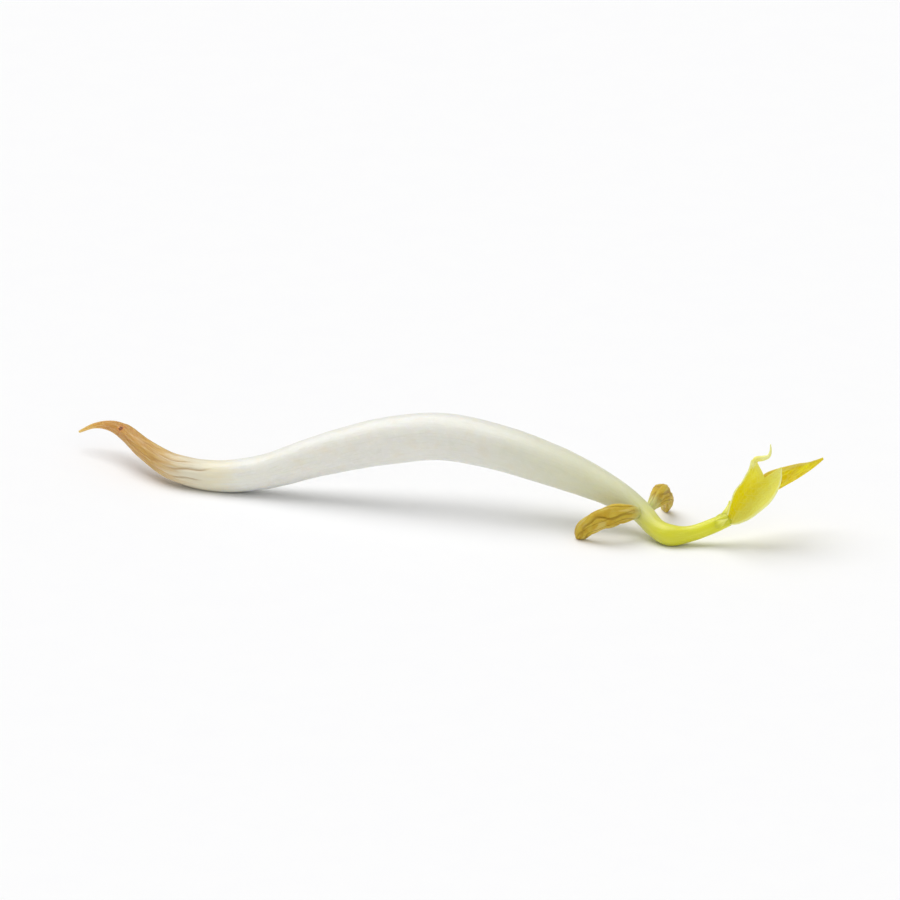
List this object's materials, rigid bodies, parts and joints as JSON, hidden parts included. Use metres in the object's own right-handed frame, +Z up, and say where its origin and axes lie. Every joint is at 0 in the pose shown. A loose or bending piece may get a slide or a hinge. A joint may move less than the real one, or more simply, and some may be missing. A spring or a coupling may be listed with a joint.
{
  "type": "mung bean sprout",
  "caption": "A plump white bean sprout lying on its side, with a tan tapering root, a thin green neck, wrinkled golden seed halves and small folded leaves.",
  "frame": {"origin": "on the surface it lies on, under the middle of its outline", "axes": "+Z up; +X along its length, from the root tip towards the leaves; +Y away from the side that is seen"},
  "size_m": [0.0776, 0.0306, 0.0109],
  "materials": {
    "root_skin": "satin",
    "white_stem": "satin",
    "green_neck": "satin",
    "young_leaf": "matte",
    "seed_half": "matte"
  },
  "bodies": {
    "root": {"taproot": "root_skin", "hypocotyl": "white_stem", "epicotyl": "green_neck", "leaf_front": "young_leaf", "leaf_back": "young_leaf", "cotyledon_near": "seed_half", "cotyledon_far": "seed_half"}
  },
  "joints": []
}
